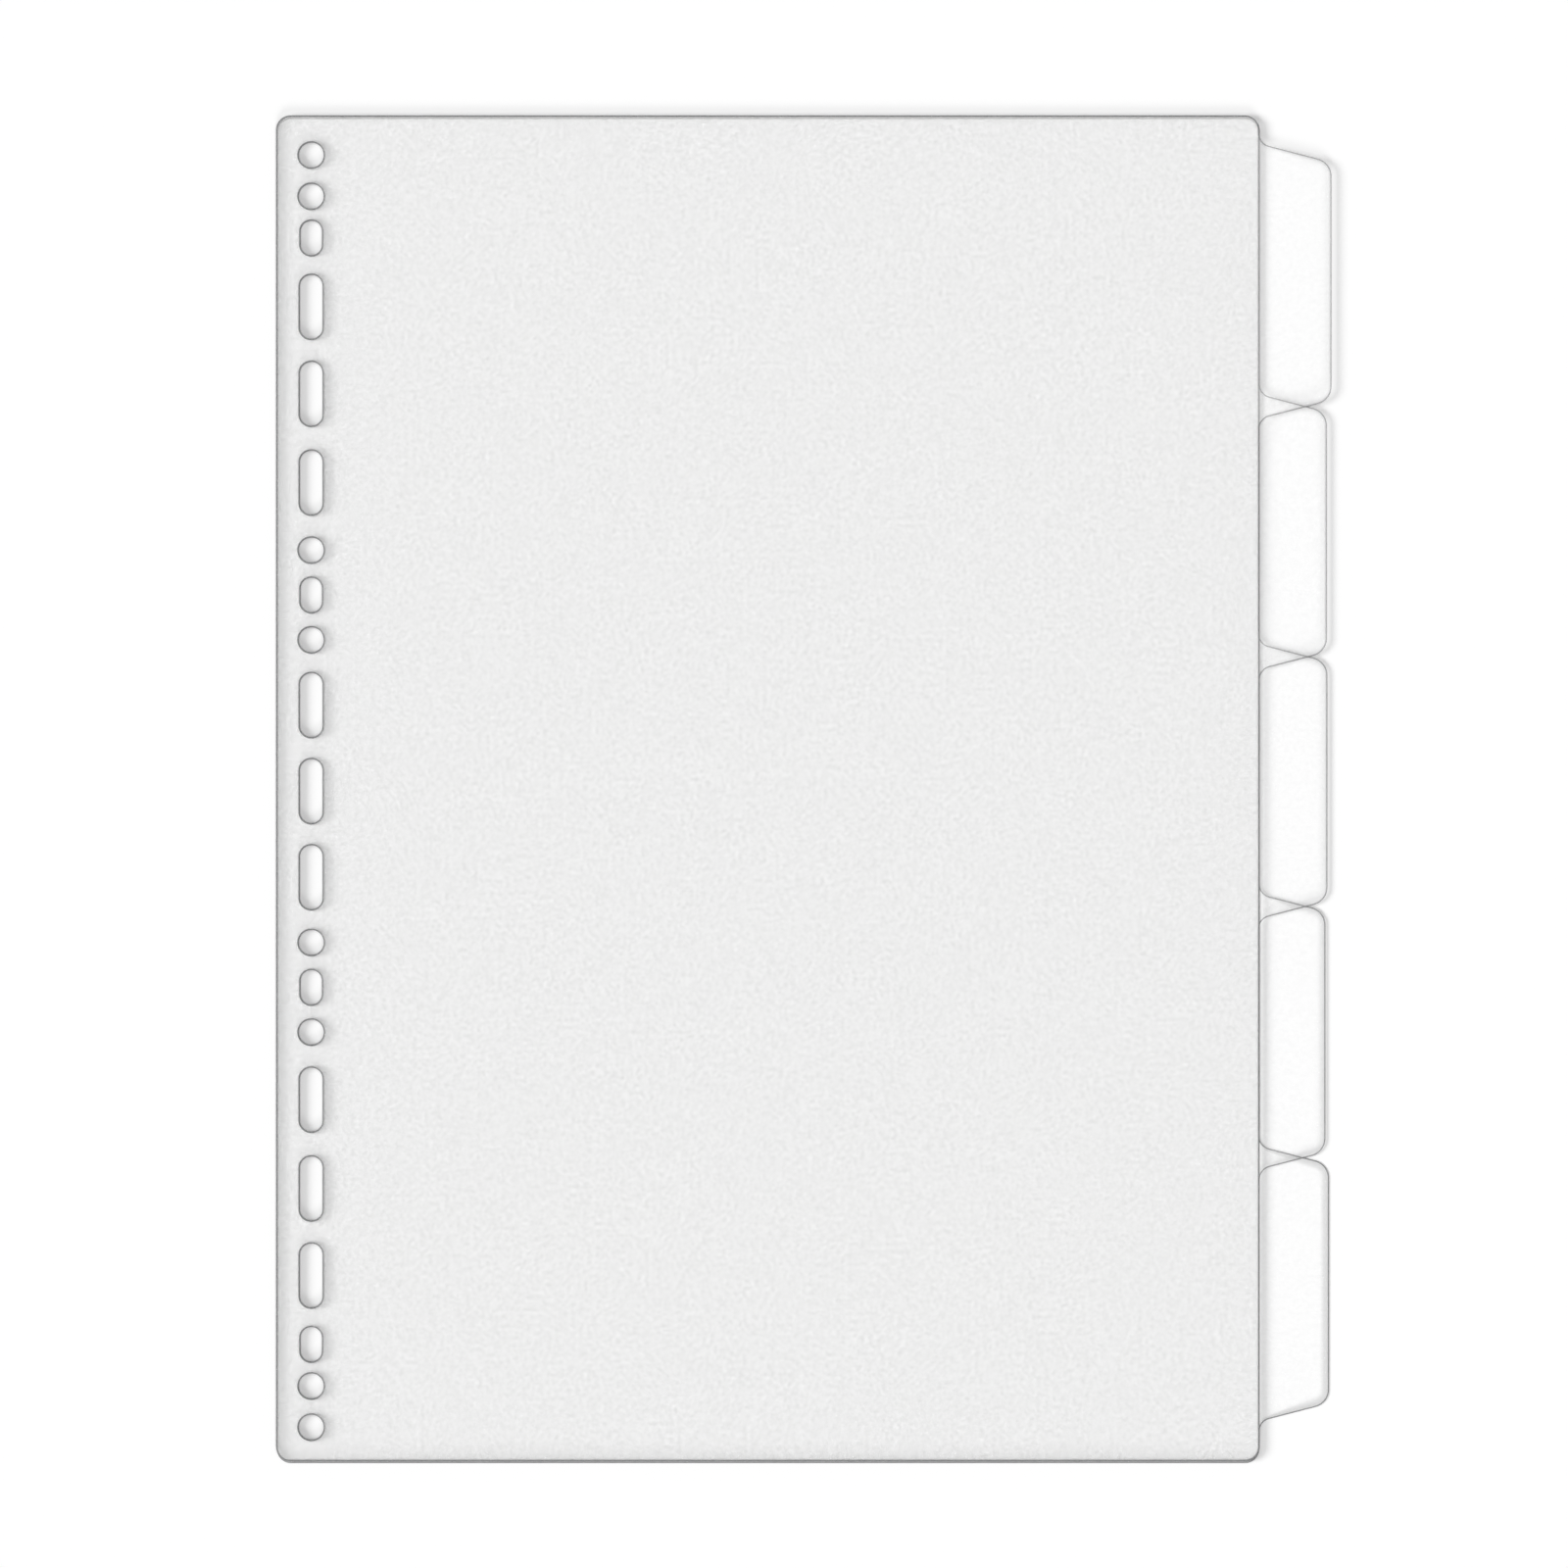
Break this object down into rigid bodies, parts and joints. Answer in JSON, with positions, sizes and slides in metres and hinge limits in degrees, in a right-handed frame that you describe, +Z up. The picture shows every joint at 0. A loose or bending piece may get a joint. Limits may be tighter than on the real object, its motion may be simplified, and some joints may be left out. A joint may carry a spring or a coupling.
{
  "type": "binder tab divider",
  "caption": "Stack of loose frosted plastic ring-binder dividers with stepped index tabs on one long edge and universal punching on the other.",
  "frame": {"origin": "middle of the stack's box, on the table under the bottom leaf", "axes": "+X from the punched binding edge to the tabs, +Y up the page to the first tab, +Z up from the table to the top leaf"},
  "size_m": [0.233, 0.2976, 0.0019],
  "materials": {
    "frosted_polypropylene_sheet": "frosted translucent sheet, finely embossed on both faces, with clear die-cut edges"
  },
  "bodies": {
    "leaf_5": {"divider_leaf_5": "frosted_polypropylene_sheet"},
    "leaf_4": {"divider_leaf_4": "frosted_polypropylene_sheet"},
    "leaf_3": {"divider_leaf_3": "frosted_polypropylene_sheet"},
    "leaf_2": {"divider_leaf_2": "frosted_polypropylene_sheet"},
    "leaf_1": {"divider_leaf_1": "frosted_polypropylene_sheet"}
  },
  "joints": [
    {"name": "leaf_4_page_turn", "type": "hinge", "parent": "leaf_5", "child": "leaf_4", "pos_m": [-0.11868, 0, 0.00095], "axis": [0, -1, 0], "range_deg": [0, 180]},
    {"name": "leaf_3_page_turn", "type": "hinge", "parent": "leaf_4", "child": "leaf_3", "pos_m": [-0.11868, 0, 0.00095], "axis": [0, -1, 0], "range_deg": [0, 180]},
    {"name": "leaf_2_page_turn", "type": "hinge", "parent": "leaf_3", "child": "leaf_2", "pos_m": [-0.11868, 0, 0.00095], "axis": [0, -1, 0], "range_deg": [0, 180]},
    {"name": "leaf_1_page_turn", "type": "hinge", "parent": "leaf_2", "child": "leaf_1", "pos_m": [-0.11868, 0, 0.00095], "axis": [0, -1, 0], "range_deg": [0, 180]}
  ]
}
